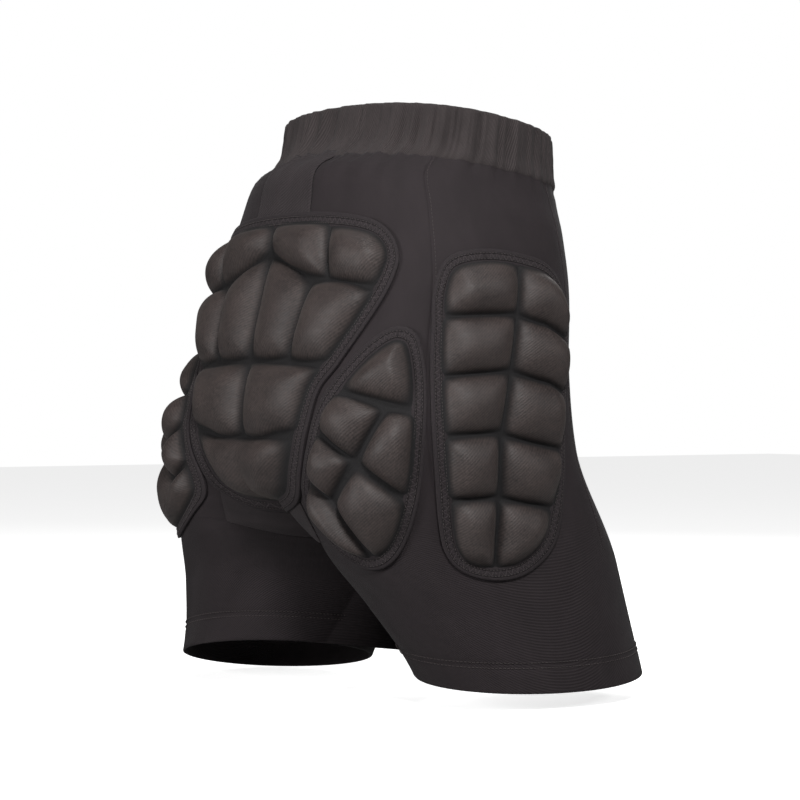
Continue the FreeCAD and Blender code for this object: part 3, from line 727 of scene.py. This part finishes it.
for side, sign in SIDES:
    r, d = np.meshgrid(sign * rounds, drops, indexing="ij")
    dips = seam_dip(np.abs(r), *SIDE_SEAMS) * (1 - smooth((d - 318) / 20)) + seam_dip(np.abs(r), CENTRE_STRIP, 1e6) * (d < DROP_CROTCH)
    groove = -0.35 * (np.exp(-((d - 412) / 1.4) ** 2) + np.exp(-((d - 416) / 1.4) ** 2)) * (hem > -0.01)
    grid = spot(r, d, hem + groove + (dips + shell_off(r, d)) * (np.arange(len(drops)) < len(drops) - 10))
    n, m = r.shape
    faces = grid_faces(n, m, sign > 0)
    row, col = faces.min(1) // m, faces.min(1) % m
    faces = faces[(row >= strip_edge) | (col >= crotch_row)]
    faces = np.where((faces >= (n - 1) * m) & (faces % m >= crotch_row), faces - (n - 1) * m, faces)
    used, faces = np.unique(faces, return_inverse=True)
    piece = put(f"{side}_shell_cloth", grid.reshape(-1, 3)[used], faces.reshape(-1, 4))
    add_uv(piece, knit_uv(r, d).reshape(-1, 2)[used])
    add_uv(piece, (np.stack([r, d], -1) * MM).reshape(-1, 2)[used], "place")
    thicken(piece, 1.0)
    across, length, area = cut_size(grid)
    area -= cut_size(grid[:strip_edge + 1, :crotch_row + 1])[2]
    print(f"flat {piece.name}: {across * 1000:.0f} x {length * 1000:.0f} mm, {area * 1e4:.0f} cm2")
    finish_piece(piece, "body_knit", None)
    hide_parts(*[f"{side}_{k}" for k in ("seat_panel", "side_panel", "front_panel", "thigh_yoke",
                                                 "thigh_stretch", "leg_sleeve", "leg_hem")])
    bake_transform(piece)
    for drop in (412.0, 416.0):
        ring = sign * leg_station(np.linspace(0.01, 2 * math.pi - 0.01, 500))
        row = stitches(f"{side}_hem_stitches_{drop:.0f}", ring, np.full(500, drop), 0.3, 3.0)
        finish_piece(row, "leg_knit", f"{side}_leg")
    for k, station in enumerate(SIDE_SEAMS):
        d = np.linspace(WAISTBAND_HEIGHT + 4, 326, 300)
        row = stitches(f"{side}_seam_stitches_{k}", np.full(300, sign * (station + 2.2)), d, 0.0, 3.2, 0.7, 0.2, 0.15)
        finish_piece(row, "body_knit", SEAT)

# the band: one folded sheet, outer face, round the top edge and down the inner face
r_line = np.linspace(-HALF_ROUND, HALF_ROUND, 560, endpoint=False)
outer = np.linspace(WAISTBAND_HEIGHT + 1.5, 2.4, 22)
fold = np.radians(np.linspace(0, 180, 9))
inner = np.linspace(2.4, WAISTBAND_HEIGHT + 0.5, 12)
drops = np.concatenate([outer, 2.4 - 2.4 * np.sin(fold[1:-1]), inner, [WAISTBAND_HEIGHT + 1.5]])
depth = np.concatenate([np.zeros(22), -2.4 + 2.4 * np.cos(fold[1:-1]), np.full(12, -4.8), [-2.4]])
r, d = np.meshgrid(r_line, drops, indexing="ij")
ripple = gathers(r, d) * (0.35 + 0.65 * np.sin(np.clip(d / WAISTBAND_HEIGHT, 0, 1) * math.pi) ** 0.6)
roll = 0.9 * np.exp(-((d - WAISTBAND_HEIGHT + 4) / 5) ** 2) - 1.4 * smooth((d - WAISTBAND_HEIGHT + 1.2) / 2.4)
grid = spot(r, d, depth + ripple + np.where(depth == 0, roll, 0))
n, m = r.shape
faces = grid_faces(n, m, False, closed=True)
wall = np.arange(n) * m
closing = np.stack([wall + m - 1, np.roll(wall, -1) + m - 1, np.roll(wall, -1), wall], 1)
piece = put("waistband", grid.reshape(-1, 3), np.concatenate([faces, closing]))
add_uv(piece, (np.stack([r, d + 2 * np.maximum(-depth, 0)], -1) * MM).reshape(-1, 2))
add_uv(piece, (np.stack([r, d], -1) * MM).reshape(-1, 2), "place")
across, down, area = cut_size(grid[:, :22])
print(f"flat waistband: {across * 1000:.0f} x {down * 2000:.0f} mm folded in half, {area * 2e4:.0f} cm2")
finish_piece(piece, "waistband_knit", SEAT, "waistband_cover", "waistband_elastic", "waistband_lining")

# ---- pads ---------------------------------------------------------------------------------------------
PAD_HEIGHT = {"tailbone": 15.0, "buttock": 15.0, "hip": 14.0}
cad_nodes = list(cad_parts)
whole_tail = [(-r, d) for r, d in TAIL_EDGE[1:-1]][::-1] + TAIL_EDGE
tail_blocks = TAIL_BLOCKS + [([(-b[0], b[1]), (-a[0], a[1]), (-d[0], d[1]), (-c[0], c[1])],
                              (g[0], g[3], g[2], g[1])) for (a, b, c, d), g in TAIL_BLOCKS] + [TAIL_TIP]
pads = [("tailbone", "tailbone", whole_tail, tail_blocks, 1)]
for side, sign in SIDES:
    pads += [(f"{side}_buttock", "buttock", BUTTOCK_EDGE, BUTTOCK_BLOCKS, sign),
             (f"{side}_hip", "hip", HIP_EDGE, HIP_BLOCKS, sign)]
for name, kind, edge, blocks, sign in pads:
    piece = pad_cover(f"{name}_pad_face", edge, blocks, PAD_HEIGHT[kind], sign)
    foams = [n for n in cad_nodes if n.startswith((f"{name}_block", f"{name}_foam"))]
    finish_piece(piece, "pad_face", SEAT, *foams, f"{name}_pad_base")
    piece, rows = binding(f"{name}_tape", edge, blocks, sign)
    finish_piece(piece, "binding_tape", SEAT, f"{name}_pad_binding")
    for row in rows:
        finish_piece(row, "binding_tape", SEAT)

# ---- floor and light ---------------------------------------------------------------------------------
FLOOR_Z = CAD_BOX[0][2] - 0.001
floor = put("floor", [(-6, -6, FLOOR_Z), (6, -6, FLOOR_Z), (6, 6, FLOOR_Z), (-6, 6, FLOOR_Z)], [(0, 1, 2, 3)])
pale = bpy.data.materials.new("pale_floor")
pale.use_nodes = True
nodes, links = pale.node_tree.nodes, pale.node_tree.links
nodes["Principled BSDF"].inputs["Base Color"].default_value = (0.92, 0.92, 0.92, 1)
nodes["Principled BSDF"].inputs["Roughness"].default_value = 0.9
nodes["Principled BSDF"].inputs["Emission Color"].default_value = (1, 1, 1, 1)
nodes["Principled BSDF"].inputs["Emission Strength"].default_value = 0.74
# a lit sheet as the lens sees it, but a dim one as a light under the shorts
dim, choose, rays = (nodes.new(k) for k in ("ShaderNodeBsdfDiffuse", "ShaderNodeMixShader", "ShaderNodeLightPath"))
dim.inputs["Color"].default_value = (0.35, 0.35, 0.35, 1)
links.new(rays.outputs["Is Camera Ray"], choose.inputs[0])
links.new(dim.outputs[0], choose.inputs[1])
links.new(nodes["Principled BSDF"].outputs[0], choose.inputs[2])
links.new(choose.outputs[0], nodes["Material Output"].inputs["Surface"])
floor.data.materials.append(pale)

world = bpy.data.worlds.new("studio")
bpy.context.scene.world = world
world.use_nodes = True
world.node_tree.nodes["Background"].inputs["Color"].default_value = (1, 1, 1, 1)
world.node_tree.nodes["Background"].inputs["Strength"].default_value = 0.11
# what the lens sees behind the shorts is brighter than what lights them, as with a lit white backdrop
nodes, links = world.node_tree.nodes, world.node_tree.links
backdrop, choose, rays = (nodes.new(k) for k in ("ShaderNodeBackground", "ShaderNodeMixShader",
                                                 "ShaderNodeLightPath"))
backdrop.inputs["Color"].default_value = (1, 1, 1, 1)
backdrop.inputs["Strength"].default_value = 1.0
links.new(rays.outputs["Is Camera Ray"], choose.inputs[0])
links.new(nodes["Background"].outputs[0], choose.inputs[1])
links.new(backdrop.outputs[0], choose.inputs[2])
links.new(choose.outputs[0], nodes["World Output"].inputs["Surface"])


def softbox(name, azimuth, elevation, distance, size, power):
    light = bpy.data.objects.new(name, bpy.data.lights.new(name, "AREA"))
    light.data.shape, light.data.size, light.data.energy = "DISK", size, power
    a, e = math.radians(azimuth), math.radians(elevation)
    light.location = VIEW_CENTRE + distance * Vector((math.sin(a) * math.cos(e), -math.cos(a) * math.cos(e),
                                                      math.sin(e)))
    light.rotation_euler = (VIEW_CENTRE - light.location).to_track_quat("-Z", "Y").to_euler()
    bpy.context.scene.collection.objects.link(light)


softbox("key", 243, 32, 1.6, 0.36, 27)
softbox("left", 186, 8, 1.6, 0.5, 19)
softbox("right", 300, 22, 1.7, 0.4, 7)
softbox("top", 236, 82, 1.5, 0.6, 8)
softbox("front", 40, 35, 1.8, 0.9, 12)
